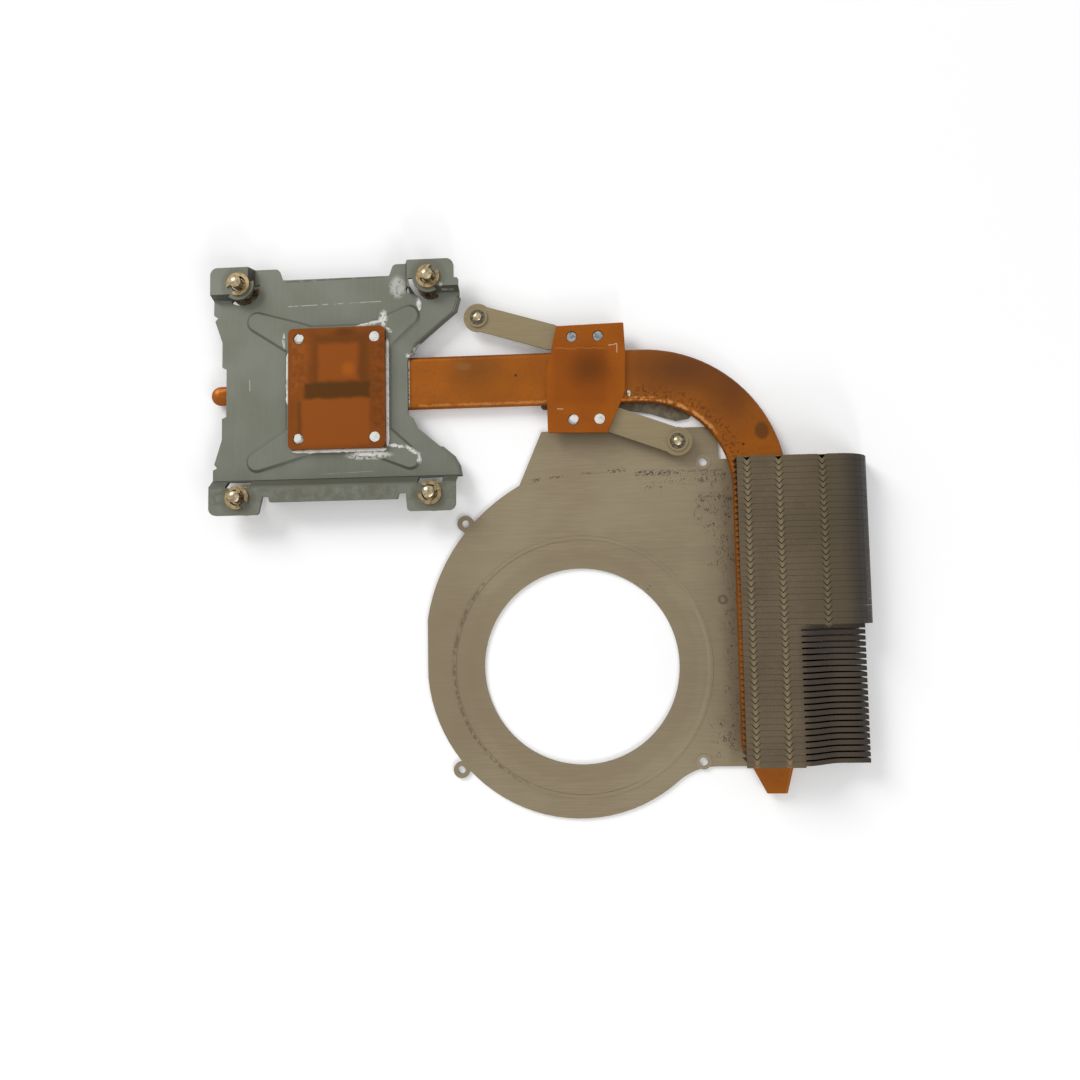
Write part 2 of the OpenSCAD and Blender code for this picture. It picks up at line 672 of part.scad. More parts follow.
// Zipper fins: folded sheets whose tongues hook into the next sheet's notches
fin_bottom = pipe_bottom;
fin_top = fin_bottom + fin_h;
fin_gap = 0.05;
fin_x1 = fin_x0 + fin_l;
step_x1 = fin_x0 + step_fin_l;
step_from_x = fin_x0 + 13.2;
step_to_x = fin_x0 + 22.2;
step_flange_w = 1;
tongue_l = 1.05;
tongue_fit = 0.12;
tongue_x_list = [fin_x0 + 2.3, fin_x0 + 9.55, fin_x0 + 19.45];
pipe_side_gap = 0.15;
step_points = 8;

function ease(s) = s * s * (3 - 2 * s);
function full_top(inset) = concat([[fin_x0, fin_top - inset]],
    arc([fin_x1 - fin_round_r, fin_top - fin_round_r], fin_round_r - inset, 90, 0, 8));
function step_z(x) = fin_top - step_drop * ease(min(1, max(0, (x - step_from_x) / (step_to_x - step_from_x))));
function step_slope(inset) = [for (k = [0 : step_points])
    let(x = step_from_x + (step_to_x - step_from_x) * k / step_points) [x, step_z(x) - inset]];
function step_end(inset) = [[step_x1, fin_top - step_drop - inset]];
function reversed(path) = [for (k = [len(path) - 1 : -1 : 0]) path[k]];

// Extrudes a side view of the fin from its back face toward the next fin
module along_stack(y, depth) {
    translate([0, y, 0]) rotate([90, 0, 0]) linear_extrude(depth) children();
}

module tongue_notch(x, y, w, l) {
    slab(fin_top - 3 * fin_t, 4 * fin_t) polygon([[x - w / 2, y + cut], [x + w / 2, y + cut], [x, y - l]]);
}

module fin(y, stepped, last) {
    depth = fin_pitch - fin_gap;
    x1 = stepped ? step_x1 : fin_x1;
    columns = stepped ? [tongue_x_list[0], tongue_x_list[1]] : tongue_x_list;
    flat_top = [[fin_x0, fin_top], [step_from_x, fin_top]];
    lower = step_slope(0);
    top = stepped ? concat([flat_top[0]], lower, step_end(0)) : full_top(0);
    difference() {
        union() {
            along_stack(y, fin_t) polygon(concat(top, [[x1, fin_bottom], [fin_x0, fin_bottom]]));
            along_stack(y, depth) {
                translate([fin_x0, fin_bottom]) square([x1 - fin_x0, fin_t]);
                if (stepped)
                    translate([fin_x0, fin_top - fin_t]) square([step_from_x - fin_x0, fin_t]);
                else
                    polygon(concat(full_top(0), reversed(full_top(fin_t))));
            }
            if (stepped)
                along_stack(y, step_flange_w)
                    polygon(concat(lower, step_end(0), reversed(concat(step_slope(fin_t), step_end(fin_t)))));
        }
        for (x = columns) tongue_notch(x, y, tongue_w, tongue_l + tongue_fit);
        translate([min(pipe_edge(y, -1), pipe_edge(y - fin_pitch, -1)) - pipe_side_gap, y - fin_pitch, fin_bottom - cut])
            cube([max(pipe_edge(y, 1), pipe_edge(y - fin_pitch, 1)) + pipe_side_gap
                - min(pipe_edge(y, -1), pipe_edge(y - fin_pitch, -1)) + pipe_side_gap, 2 * fin_pitch, pipe_t + cut]);
    }
    if (!last)
        for (x = columns)
            slab(fin_top - fin_t, fin_t)
                polygon([[x - tongue_w / 2 + tongue_fit, y - depth + fin_t], [x - tongue_w / 2 + tongue_fit, y - depth],
                    [x, y - depth - tongue_l + tongue_fit], [x + tongue_w / 2 - tongue_fit, y - depth],
                    [x + tongue_w / 2 - tongue_fit, y - depth + fin_t]]);
}

module full_fin_stack() {
    color(fin_grey) for (k = [0 : full_fins - 1]) fin(stack_y0 - k * fin_pitch, false, false);
}

module stepped_fin_stack() {
    color(fin_grey) for (k = [0 : stepped_fins - 1])
        fin(stack_y0 - (full_fins + k) * fin_pitch, true, k == stepped_fins - 1);
}

processor_bracket();
processor_block();
block_rivets();
heat_pipe();
pipe_strap();
graphics_plate();
spring_arm(0);  // left_spring_arm
spring_arm(1);  // right_spring_arm
arm_rivets();
fan_cover();
full_fin_stack();  // full_fins
stepped_fin_stack();  // stepped_fins
processor_screw(0);  // processor_screw_1
processor_screw(1);  // processor_screw_2
processor_screw(2);  // processor_screw_3
processor_screw(3);  // processor_screw_4
processor_clip(0);  // processor_clip_1
processor_clip(1);  // processor_clip_2
processor_clip(2);  // processor_clip_3
processor_clip(3);  // processor_clip_4
processor_spring(0);  // processor_spring_1
processor_spring(1);  // processor_spring_2
processor_spring(2);  // processor_spring_3
processor_spring(3);  // processor_spring_4
graphics_screw(0);  // graphics_screw_1
graphics_screw(1);  // graphics_screw_2
graphics_clip(0);  // graphics_clip_1
graphics_clip(1);  // graphics_clip_2
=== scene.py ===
import math

import bmesh
import bpy
from mathutils import Euler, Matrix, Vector, noise


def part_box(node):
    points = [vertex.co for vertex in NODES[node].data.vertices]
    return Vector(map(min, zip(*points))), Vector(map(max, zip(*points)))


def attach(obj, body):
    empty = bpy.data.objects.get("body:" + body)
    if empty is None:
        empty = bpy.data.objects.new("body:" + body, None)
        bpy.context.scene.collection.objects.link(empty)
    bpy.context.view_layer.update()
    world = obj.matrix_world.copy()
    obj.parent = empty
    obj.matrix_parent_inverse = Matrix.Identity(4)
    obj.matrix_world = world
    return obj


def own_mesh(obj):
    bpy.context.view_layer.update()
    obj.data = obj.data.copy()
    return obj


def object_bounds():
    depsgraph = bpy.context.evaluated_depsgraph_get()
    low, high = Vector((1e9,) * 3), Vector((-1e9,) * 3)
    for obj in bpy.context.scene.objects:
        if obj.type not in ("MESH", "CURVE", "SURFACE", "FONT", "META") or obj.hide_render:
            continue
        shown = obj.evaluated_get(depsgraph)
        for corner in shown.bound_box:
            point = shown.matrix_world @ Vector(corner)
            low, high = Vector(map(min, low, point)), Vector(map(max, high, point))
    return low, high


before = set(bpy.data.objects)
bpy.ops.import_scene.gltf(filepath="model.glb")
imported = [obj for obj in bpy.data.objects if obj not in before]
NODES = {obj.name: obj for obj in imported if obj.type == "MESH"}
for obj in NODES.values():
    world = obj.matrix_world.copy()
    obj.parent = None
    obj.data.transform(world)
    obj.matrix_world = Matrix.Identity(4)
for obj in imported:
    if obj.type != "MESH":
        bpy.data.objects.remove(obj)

bl_info = {
    "name": "Laptop Heatsink",
    "version": (1, 0, 0),
    "blender": (4, 5, 0),
    "location": "View3D > Sidebar > Heatsink",
    "description": "Finishes, thermal paste, solder and stage for a laptop heatsink",
    "category": "Object",
}

MM = 0.001
CAD_BOX = [list(corner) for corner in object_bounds()]

# Heights above the contact face, read from the CAD
BLOCK_LOW, BLOCK_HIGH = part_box("processor_block")
BLOCK_TOP = BLOCK_HIGH[2]
PLATE_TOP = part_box("graphics_plate")[1][2]
PIPE_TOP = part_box("graphics_plate")[0][2]
FLOOR = CAD_BOX[0][2]
FLOOR_GAP = 0.02 * MM
FLOOR_HALF = 3.0

# Places in millimetres: screws, the pipe's bend, the fan, the cover's screw holes
SCREWS = ((-24.5, 26.7), (23.1, 26.7), (-24.5, -26.7), (23.1, -26.7))
BEND = (74.4, -26.8)
FAN = (58.6, -69.0)
COVER_HOLES = ((89.1, -20.2), (87.1, -92.0))

# A scale so large that a pattern reaches through the whole height
ANY_HEIGHT = 1e6


def linear(code):
    """sRGB hex code to the linear colour that a shader takes."""
    parts = [int(code[i:i + 2], 16) / 255 for i in (1, 3, 5)]
    return [c / 12.92 if c <= 0.04045 else ((c + 0.055) / 1.055) ** 2.4 for c in parts] + [1.0]


def add(tree, kind, inputs=None, **settings):
    """Adds a node, sets it, and fills or links its inputs."""
    node = tree.nodes.new("ShaderNode" + kind)
    for name, value in settings.items():
        setattr(node, name, value)
    for key, value in (inputs or {}).items():
        if isinstance(value, bpy.types.NodeSocket):
            tree.links.new(value, node.inputs[key])
        else:
            node.inputs[key].default_value = value
    return node


def maths(tree, operation, *values):
    """One step of arithmetic on numbers and sockets."""
    return add(tree, "Math", dict(enumerate(values)), operation=operation).outputs[0]


def coordinate(tree, at, axis):
    """One coordinate of a point or a direction."""
    return add(tree, "SeparateXYZ", {0: at}).outputs[axis]


# Patterns on a surface, all sized in millimetres

def place_in_mm(tree):
    """The surface point in millimetres from the contact block's centre."""
    where = add(tree, "TexCoord").outputs["Object"]
    return add(tree, "Mapping", {"Vector": where, "Scale": (1000, 1000, 1000)}).outputs["Vector"]


def seen_from(tree, at, centre, scale=(1, 1, 1), turn=0.0):
    """Points measured from a centre, along turned axes, in units of scale."""
    place = {"Vector": at, "Location": (*centre, 0), "Rotation": (0, 0, math.radians(turn)), "Scale": scale}
    return add(tree, "Mapping", place, vector_type="TEXTURE").outputs[0]


def wander(tree, at, size, reach):
    """Shifts points about, so that an edge drawn on them is uneven."""
    cloud = add(tree, "TexNoise", {"Vector": at, "Scale": 1 / size, "Detail": 3.0}).outputs["Color"]
    centred = add(tree, "VectorMath", {0: cloud, 1: (0.5, 0.5, 0.5)}, operation="SUBTRACT").outputs[0]
    shift = {0: centred, 1: (2 * reach,) * 3, 2: at}
    return add(tree, "VectorMath", shift, operation="MULTIPLY_ADD").outputs[0]


def fade(tree, value, start, end, low=0.0, high=1.0):
    """Smooth ramp from low at start to high at end."""
    return add(tree, "MapRange", {0: value, 1: start, 2: end, 3: low, 4: high},
               interpolation_type="SMOOTHSTEP").outputs[0]


def grain(tree, at, size, start=0.4, end=0.6, stretch=(1, 1, 1), detail=3.0):
    """Blotches of a real size, from 0 to 1."""
    scale = tuple(1 / (size * s) for s in stretch)
    point = add(tree, "Mapping", {"Vector": at, "Scale": scale}).outputs[0]
    cloud = add(tree, "TexNoise", {"Vector": point, "Scale": 1.0, "Detail": detail}).outputs["Fac"]
    return fade(tree, cloud, start, end)


def spot(tree, at, centre, radii, soft=0.3, turn=0.0):
    """1 inside an ellipse round centre, 0 outside it."""
    point = seen_from(tree, at, centre, (*radii, ANY_HEIGHT), turn)
    reach = add(tree, "VectorMath", {0: point}, operation="LENGTH").outputs["Value"]
    return fade(tree, reach, 1 + soft, 1 - soft)


def patch(tree, at, centre, half, soft=0.1, turn=0.0):
    """1 inside a rectangle round centre, 0 outside it; soft is in millimetres."""
    point = seen_from(tree, at, centre, turn=turn)
    size = add(tree, "VectorMath", {0: point}, operation="ABSOLUTE").outputs[0]
    past = add(tree, "VectorMath", {0: size, 1: (*half, 0)}, operation="SUBTRACT").outputs[0]
    axes = add(tree, "SeparateXYZ", {0: past}).outputs
    return fade(tree, maths(tree, "MAXIMUM", axes[0], axes[1]), soft, -soft)


def ring(tree, at, centre, radius, width, soft=0.5):
    """1 on a circle's line, 0 away from it."""
    point = seen_from(tree, at, centre, (1, 1, ANY_HEIGHT))
    reach = add(tree, "VectorMath", {0: point}, operation="LENGTH").outputs["Value"]
    off = maths(tree, "ABSOLUTE", maths(tree, "SUBTRACT", reach, radius))
    return fade(tree, off, width / 2 + soft, width / 2)


def line(tree, at, start, end, width, soft=0.12):
    """1 on a straight line between two points, 0 away from it."""
    run = Vector(end) - Vector(start)
    middle = (Vector(start) + Vector(end)) / 2
    return patch(tree, at, (middle.x, middle.y), (run.length / 2, width / 2), soft,
                 math.degrees(math.atan2(run.y, run.x)))


def between(tree, at, axis, low, high, soft=0.1):
    """1 where one coordinate lies between two values."""
    value = coordinate(tree, at, axis)
    above = fade(tree, value, low - soft, low + soft)
    return times(tree, above, fade(tree, value, high + soft, high - soft))


def cut_edge(tree):
    """1 on walls and cut edges, 0 on faces that lie flat."""
    normal = add(tree, "TexCoord").outputs["Normal"]
    return fade(tree, maths(tree, "ABSOLUTE", coordinate(tree, normal, 2)), 0.7, 0.3)


def times(tree, *masks):
    """Product of masks and numbers."""
    result = masks[0]
    for mask in masks[1:]:
        result = maths(tree, "MULTIPLY", result, mask)
    return result


def over(tree, base, mask, colour):
    """Lays a colour over base where mask is 1."""
    top = linear(colour) if isinstance(colour, str) else colour
    return add(tree, "Mix", {0: mask, 6: base, 7: top}, data_type="RGBA").outputs[2]


def finish(name, paint, metallic, roughness, uneven=0.04, bump_size=0.25, bump=0.02, gloss=0.5):
    """A material whose colour comes from paint, with roughness and bump from its own grain."""
    material = bpy.data.materials.new(name)
    material.use_nodes = True
    tree = material.node_tree
    tree.nodes.clear()
    at = place_in_mm(tree)
    colour = paint(tree, at)
    cloud = grain(tree, at, 3.0, 0.3, 0.7)
    dull = add(tree, "MapRange", {0: cloud, 3: roughness - uneven, 4: roughness + uneven})
    pits = add(tree, "TexNoise", {"Vector": at, "Scale": 1 / bump_size, "Detail": 2.0}).outputs["Fac"]
    relief = add(tree, "Bump", {"Height": pits, "Distance": bump * MM, "Strength": 1.0})
    shader = add(tree, "BsdfPrincipled", {
        "Base Color": colour, "Roughness": dull.outputs[0], "Normal": relief.outputs[0],
        "Metallic": metallic, "Specular IOR Level": gloss})
    add(tree, "OutputMaterial", {"Surface": shader.outputs[0]})
    return material


def dress(material, *names):
    """Gives CAD nodes their finish."""
    for name in names:
        mesh = NODES[name].data
        mesh.materials.clear()
        mesh.materials.append(material)


# Finishes

# Start, end, width, colour and strength of each line along a crease on the bracket: light ones are painted
# highlights, dark ones painted shade
CREASE_HIGHLIGHTS_AND_SHADE = (
    ((-12.8, 21.4), (-2.6, 21.6), 0.14, "#b4b6ac", 0.85),
    ((-1.0, 21.6), (10.8, 21.8), 0.14, "#b4b6ac", 0.85),
    ((-13.6, 27.7), (11.3, 28.1), 0.3, "#3f4036", 0.8),
    ((-4.5, -21.1), (8.5, -20.7), 0.1, "#a6a89d", 0.55),
    ((-22.4, 0.3), (-22.5, 3.2), 0.16, "#b0b2a8", 0.8),
    ((-22.5, -11.5), (-22.6, -15.5), 0.12, "#5f6257", 0.5),
    ((-32.1, 23.5), (-27.7, 23.3), 0.2, "#8d8f85", 0.6),
    ((26.2, 23.8), (29.9, 23.7), 0.2, "#b9b4a9", 0.5),
)
# Centre, radii, turn and strength of each smear of wiped paste on the bracket
SMEARS = (
    ((8.6, 16.2), (3.4, 0.45), 8.0, 0.9),
    ((11.4, 17.3), (1.0, 2.0), 0.0, 0.95),
    ((12.9, 14.3), (0.9, 0.35), -45.0, 0.8),
    ((20.4, 20.6), (0.55, 1.6), 12.0, 0.95),
    ((15.1, 25.3), (1.9, 2.6), 0.0, 0.5),
    ((26.2, 24.7), (0.5, 0.5), 0.0, 0.6),
    ((18.1, 7.9), (1.1, 0.5), 0.0, 0.9),
    ((19.4, 9.8), (0.3, 1.4), -35.0, 0.6),
    ((14.6, -14.7), (2.3, 0.35), -8.0, 0.9),
    ((18.4, -15.8), (2.0, 0.5), -32.0, 0.95),
    ((20.2, -17.9), (0.5, 1.3), 0.0, 0.95),
    ((7.6, -16.8), (5.2, 0.9), 0.0, 0.9),
    ((-13.6, 12.5), (0.35, 1.8), 0.0, 0.7),
)


def bracket_paint(tree, at):
    # Chromate over zinc on steel sheet: matt olive grey, cloudy, with painted shade on the slopes, folds and
    # cut edges, painted highlights and shade along the creases, a darker ring round each screw, and wiped
    # paste beside the block.
    base = over(tree, linear("#656659"), grain(tree, at, 14.0, 0.35, 0.65), "#6d6f63")
    base = over(tree, base, times(tree, grain(tree, at, 1.4, 0.45, 0.7, (0.5, 7, 1)), 0.16), "#76786a")
    # Painted shade on the pressed cross's slope
    slope = times(tree, between(tree, at, 2, -1.72, -1.28, 0.06), patch(tree, at, (0, 0), (24, 21), 1.0))
    base = over(tree, base, times(tree, slope, 0.5), "#44453a")
    # The lower strip's blotchy dirt, then painted shade on the slope beside it and in its fold
    strip = times(tree, between(tree, at, 1, -28.4, -24.4, 0.3), grain(tree, at, 1.8, 0.35, 0.65), 0.55)
    base = over(tree, base, strip, "#4d4c3e")
    base = over(tree, base, times(tree, between(tree, at, 1, -24.4, -22.4, 0.15), 0.55), "#4c4b3e")
    base = over(tree, base, times(tree, between(tree, at, 1, -22.45, -22.15, 0.1), 0.85), "#2e2d24")
    # Darker in a ring round each screw
    for screw in SCREWS:
        screw_ring_darkening = times(tree, ring(tree, wander(tree, at, 1.2, 0.4), screw, 3.4, 0.6, 1.4), 0.4)
        base = over(tree, base, screw_ring_darkening, "#484535")
    # Painted shade on walls and cut edges
    base = over(tree, base, times(tree, cut_edge(tree), 0.75), "#34342d")
    # Painted highlights and painted shade along the creases, broken by grain
    for start, end, width, colour, strength in CREASE_HIGHLIGHTS_AND_SHADE:
        mark = times(tree, line(tree, at, start, end, width), grain(tree, at, 1.5, 0.35, 0.5), strength)
        base = over(tree, base, mark, colour)
    rough = wander(tree, at, 1.0, 0.45)
    for centre, radii, turn, strength in SMEARS:
        smear = spot(tree, rough, centre, radii, 0.35, turn)
        base = over(tree, base, times(tree, smear, grain(tree, at, 0.7, 0.32, 0.5), strength), "#cfcec8")
    return base


def copper_paint(base, cloud, stains, speckle=0.35):
    """Bare copper that has browned in the air: orange brown, cloudy, with dark heat stains."""
    def paint(tree, at):
        colour = over(tree, linear(base), grain(tree, at, 6.0, 0.35, 0.7), cloud)
        colour = over(tree, colour, times(tree, grain(tree, at, 0.9, 0.5, 0.75), speckle), "#6d411c")
        rough = wander(tree, at, 2.5, 0.5)
        for make, centre, radii, soft, tint, strength in stains:
            colour = over(tree, colour, times(tree, make(tree, rough, centre, radii, soft), strength), tint)
        return colour
    return paint


def mottled(tree, at, centre, half, soft):
    """A patch broken into blotches."""
    return times(tree, patch(tree, at, centre, half, soft), grain(tree, at, 1.6, 0.4, 0.6))


def scratch(tree, at, start, end, width):
    """A thin straight mark."""
    return line(tree, at, start, end, width, 0.08)


# Each stain: its shape, centre, size, softness, colour and strength; a scratch has its two ends and its width
BLOCK_STAINS = (
    (mottled, (-9.4, 5.5), (2.0, 6.8), 0.8, "#8b4c17", 0.5),
    (mottled, (10.6, 2.0), (1.4, 12.0), 0.8, "#572e0c", 0.55),
    (patch, (1.2, 7.2), (7.3, 6.3), 1.5, "#5e330d", 0.85),
    (patch, (0.4, 6.4), (5.0, 4.7), 0.9, "#814310", 0.95),
    (spot, (3.0, 4.6), (1.5, 1.6), 0.7, "#964f11", 0.85),
    (spot, (2.1, 13.8), (2.8, 0.9), 0.6, "#4d2a0c", 0.6),
    (patch, (0.2, -0.6), (8.2, 2.0), 0.6, "#4c2d0b", 0.95),
    (patch, (-0.2, -8.6), (8.4, 5.8), 0.6, "#844512", 0.85),
    (patch, (-9.3, -7.8), (0.4, 4.6), 0.5, "#593411", 0.75),
)
PLATE_STAINS = (
    (patch, (59.6, 1.2), (6.4, 6.6), 1.0, "#82420e", 0.6),
    (spot, (62.2, 3.1), (4.2, 3.9), 0.9, "#63340e", 0.9),
    (scratch, (53.7, 8.2), (66.1, 7.8), 0.25, "#a8652b", 0.6),
    (scratch, (66.9, 8.6), (68.9, 8.8), 0.16, "#cbb9a8", 0.9),
    (scratch, (68.9, 8.8), (68.9, 6.7), 0.16, "#cbb9a8", 0.9),
    (scratch, (54.2, -6.7), (55.6, -6.8), 0.16, "#cbb9a8", 0.8),
)
PIPE_STAINS = (
    (spot, (33.8, 3.8), (5.4, 3.6), 0.9, "#754418", 0.75),
    (spot, (31.2, 4.8), (1.8, 0.9), 0.6, "#846036", 0.5),
    (spot, (84.5, 2.6), (12.5, 5.6), 1.0, "#5c361a", 0.9),
    (spot, (96.5, -3.6), (6.0, 7.0), 1.0, "#623817", 0.85),
    (spot, (103.0, -13.4), (1.6, 2.1), 0.3, "#5c3814", 0.85),
    (spot, (98.6, -16.5), (0.35, 0.35), 0.4, "#402308", 0.9),
    (spot, (44.0, 2.1), (0.3, 0.3), 0.4, "#2c1907", 0.95),
)


def pipe_paint(tree, at):
    # Copper tube pressed flat: browned on the bend, with dark specks along its inner edge, painted shade
    # beside the fins, and painted highlights along its rounded edge.
    base = copper_paint("#975413", "#8b4d13", PIPE_STAINS, 0.3)(tree, at)
    fine = wander(tree, at, 1.0, 0.4)
    # Painted shade on the pipe beside the fins
    shade_beside_fins = times(tree, patch(tree, fine, (93.6, -60.0), (1.8, 34.0), 0.8), 0.85)
    base = over(tree, base, shade_beside_fins, "#54422b")
    inner = times(tree, ring(tree, fine, BEND, 23.6, 2.0, 1.8), patch(tree, at, (88, -12), (16, 14), 2.0))
    specks = times(tree, inner, grain(tree, at, 0.55, 0.55, 0.62, detail=1.0), 0.75)
    base = over(tree, base, specks, "#57331a")
    # Painted highlights along the pipe's rounded edge, straight and round the bend, on flat faces only
    flat = maths(tree, "SUBTRACT", 1.0, cut_edge(tree))
    straight = line(tree, fine, (20.0, -4.6), (70.0, -4.6), 0.35, 0.35)
    painted_glint = times(tree, straight, grain(tree, at, 2.5, 0.3, 0.55), flat, 0.7)
    base = over(tree, base, painted_glint, "#c88648")
    curved = times(tree, ring(tree, fine, BEND, 22.2, 0.3, 0.5), patch(tree, at, (82, -8), (10, 7), 1.0))
    painted_glint = times(tree, curved, flat, grain(tree, at, 1.4, 0.4, 0.55), 0.7)
    return over(tree, base, painted_glint, "#d09355")


def sheet_paint(light, dark, streak):
    """Rolled stainless sheet: tan grey with faint rolling lines."""
    def paint(tree, at):
        base = over(tree, linear(dark), grain(tree, at, 18.0, 0.35, 0.65), light)
        return over(tree, base, times(tree, grain(tree, at, 1.0, 0.45, 0.6, (8, 0.4, 1)), 0.3), streak)
    return paint


# Start, end, width and strength of each stretch of the dust line on the cover
DUST_LINE = (
    ((47.5, -23.7), (50.2, -23.3), 0.7, 0.95),
    ((50.8, -23.2), (54.4, -22.9), 0.5, 0.9),
    ((54.4, -22.9), (66.0, -22.1), 0.16, 0.5),
    ((60.0, -22.3), (63.0, -22.1), 0.4, 0.6),
    ((66.0, -21.9), (70.4, -21.5), 1.0, 0.8),
    ((66.4, -22.1), (73.0, -22.4), 0.2, 0.6),
    ((72.6, -22.5), (84.0, -22.7), 1.3, 0.95),
    ((84.0, -22.3), (93.5, -22.3), 0.25, 0.8),
)
# Centre, half size, softness and bareness of each area of dust on the cover
DUST_BEDS = (
    ((91.6, -28.5), (4.6, 6.5), 1.8, 0.54),
    ((93.0, -38.0), (3.4, 7.0), 1.8, 0.585),
    ((94.3, -62.0), (1.8, 20.0), 1.2, 0.615),
    ((92.2, -86.6), (3.2, 4.2), 1.5, 0.575),
    ((79.0, -24.6), (6.0, 1.6), 1.0, 0.6),
    ((73.0, -51.0), (3.0, 2.0), 1.0, 0.63),
)


def cover_paint(tree, at):
    # Nickel-plated steel sheet after years over a fan: tan grey, with dust stuck where the fan's wall stood,
    # and painted shade and highlights.
    base = sheet_paint("#8a7d64", "#83755d", "#938669")(tree, at)
    uneven = wander(tree, at, 3.0, 1.2)
    fine = wander(tree, at, 0.8, 0.35)
    # Darker to the left, round the inlet, beside the fins and below the tone line, and a painted shadow under
    # the pipe
    base = over(tree, base, times(tree, spot(tree, uneven, (26.0, -70.0), (9.0, 26.0), 0.5), 0.5), "#776850")
    base = over(tree, base, times(tree, ring(tree, uneven, FAN, 25.5, 2.5, 2.0), 0.3), "#776850")
    base = over(tree, base, times(tree, patch(tree, uneven, (95.3, -55), (1.8, 38.0), 2.0), 0.55), "#6d5e48")
    # Painted shadow of the pipe on the cover
    base = over(tree, base, times(tree, patch(tree, uneven, (72, -12.5), (26, 4.5), 3.0), 0.4), "#75674f")
    below = fade(tree, coordinate(tree, at, 1), -49.0, -41.0, 0.0, 0.2)
    base = over(tree, base, times(tree, between(tree, at, 1, -49.0, -40.7, 0.15), below), "#786a53")
    specks = grain(tree, at, 0.28, 0.5, 0.58, (1.5, 1, 1), detail=1.0)
    for start, end, width, strength in DUST_LINE:
        trail = times(tree, line(tree, fine, start, end, width, 0.35), specks, strength)
        base = over(tree, base, trail, "#383023")
    for centre, half, soft, bareness in DUST_BEDS:
        dots = grain(tree, at, 0.36, bareness - 0.02, bareness + 0.03, (0.8, 1.4, 1), detail=1.0)
        clusters = grain(tree, at, 2.2, 0.4, 0.62)
        bed = times(tree, patch(tree, uneven, centre, half, soft), dots, clusters, 0.9)
        base = over(tree, base, bed, "#3b3225")
    # The pressed bead: dirty on the left, a faint painted highlight on the right
    left = times(tree, ring(tree, fine, FAN, 31.0, 0.3, 0.3), patch(tree, at, (34, -72), (12, 24), 4.0))
    base = over(tree, base, times(tree, left, grain(tree, at, 1.2, 0.42, 0.55), 0.6), "#4d4230")
    right = times(tree, ring(tree, at, FAN, 30.5, 0.3, 0.3), patch(tree, at, (84, -76), (12, 22), 4.0), 0.4)
    base = over(tree, base, right, "#a0937a")
    base = over(tree, base, times(tree, ring(tree, fine, (92.8, -53.7), 0.9, 0.3, 0.3), 0.7), "#5b4d39")
    for hole in COVER_HOLES:
        base = over(tree, base, times(tree, ring(tree, at, hole, 1.45, 0.7, 0.15), 0.5), "#94876e")
    # Painted shade on walls and cut edges
    return over(tree, base, times(tree, cut_edge(tree), 0.5), "#4f4534")


# Centre and half length of each row of hooks on the fins
HOOK_ROWS = (((98.1, -56.3), 35.8), ((105.35, -56.3), 35.8), ((115.25, -40.2), 19.7))


def fin_paint(tree, at):
    # Aluminium fins after years of warm dusty air: brown grey, paler on the hooks, with painted shade where
    # the tops round down towards the outlet and a painted shadow in the step.
    base = over(tree, linear("#5b4e3a"), grain(tree, at, 9.0, 0.35, 0.65), "#534734")
    base = over(tree, base, times(tree, grain(tree, at, 0.6, 0.5, 0.7), 0.25), "#6b5c44")
    for centre, reach in HOOK_ROWS:
        hook = times(tree, patch(tree, at, centre, (0.4, reach), 0.4), 0.75)
        base = over(tree, base, hook, "#807255")
    x, y = coordinate(tree, at, 0), coordinate(tree, at, 1)
    # Painted shade where the fin tops round down towards the outlet
    base = over(tree, base, fade(tree, x, 107.0, 119.0, 0.0, 0.55), "#3d3324")
    base = over(tree, base, fade(tree, x, 118.0, 124.5, 0.0, 0.85), "#1f1a16")
    # Painted shadow in the step, thinning towards the outlet
    step = times(tree, fade(tree, y, -59.6, -60.6), fade(tree, x, 107.5, 111.0))
    step_shadow = times(tree, step, fade(tree, x, 123.0, 113.0, 0.25, 1.0), 0.75)
    return over(tree, base, step_shadow, "#261d15")


def plain_paint(light, dark, size=1.5):
    """One metal with cloudy tarnish."""
    def paint(tree, at):
        return over(tree, linear(light), grain(tree, at, size, 0.4, 0.65), dark)
    return paint


def paste_paint(tree, at):
    # Dried silicone thermal paste: chalky white, grey where it picked up dirt.
    base = over(tree, linear("#dcdad4"), grain(tree, at, 1.6, 0.45, 0.7), "#bdbab1")
    return over(tree, base, times(tree, grain(tree, at, 0.5, 0.6, 0.7), 0.6), "#86807a")


def solder_paint(tint):
    """Tin solder: soft grey shine with a dull skin."""
    def paint(tree, at):
        return over(tree, list(tint), grain(tree, at, 0.8, 0.4, 0.6), "#8d8576")
    return paint


# Pieces in mesh code

def piece(name, bm, material, body="frame"):
    """Makes a finished bmesh an object of the scene that rides on a body."""
    bmesh.ops.remove_doubles(bm, verts=bm.verts, dist=1e-7)
    bmesh.ops.recalc_face_normals(bm, faces=bm.faces)
    mesh = bpy.data.meshes.new(name)
    bm.to_mesh(mesh)
    bm.free()
    mesh.materials.append(material)
    obj = bpy.data.objects.new(name, mesh)
    bpy.context.scene.collection.objects.link(obj)
    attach(obj, body)
    for polygon in mesh.polygons:
        polygon.use_smooth = True


def blob(bm, centre, radii, lump=0.12, seed=0.0):
    """A flattened uneven drop."""
    drop = bmesh.ops.create_uvsphere(bm, u_segments=20, v_segments=10, radius=1.0)["verts"]
    for vert in drop:
        vert.co *= 1 + lump * noise.noise(vert.co * 1.8 + Vector((seed, seed * 0.7, 0)))
    bmesh.ops.scale(bm, vec=Vector(radii), verts=drop)
    bmesh.ops.translate(bm, vec=Vector(centre), verts=drop)


